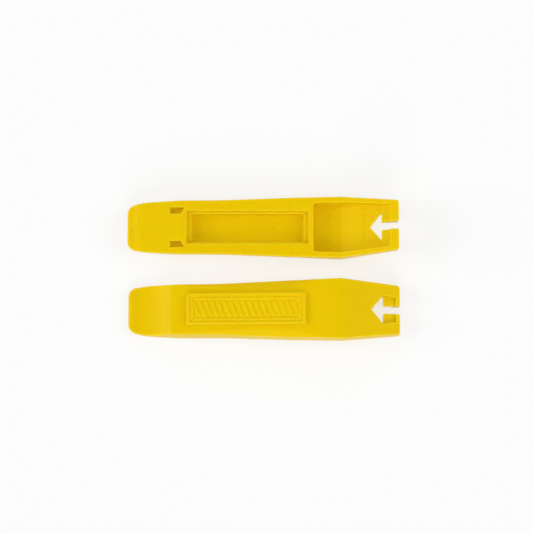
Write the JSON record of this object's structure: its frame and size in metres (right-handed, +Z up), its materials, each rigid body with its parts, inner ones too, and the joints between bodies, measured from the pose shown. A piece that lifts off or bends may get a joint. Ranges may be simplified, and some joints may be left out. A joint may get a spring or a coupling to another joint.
{
  "type": "tyre lever",
  "caption": "Pair of one-piece plastic bicycle tyre levers with a spoon end, a raised grip panel, a stepped recess for nesting and a cranked end with an arrow-shaped spoke slot.",
  "frame": {"origin": "middle of the pair's bounding box, on the surface that the levers lie on", "axes": "+X along the levers from the spoon ends to the hook ends, +Y from the lever that lies front up towards the lever that lies back up, +Z up"},
  "size_m": [0.128, 0.0676, 0.0185],
  "materials": {
    "lever_plastic": "satin moulded nylon, yellow right through"
  },
  "bodies": {
    "resting_lever": {"lever_face_down": "lever_plastic"},
    "turning_lever": {"lever_face_up": "lever_plastic"}
  },
  "joints": [
    {"name": "turn_over_to_nest", "type": "hinge", "parent": "resting_lever", "child": "turning_lever", "pos_m": [-0.06397, 0, 0.0089], "axis": [-0.9992, 0, -0.0389], "range_deg": [0, 180]}
  ]
}
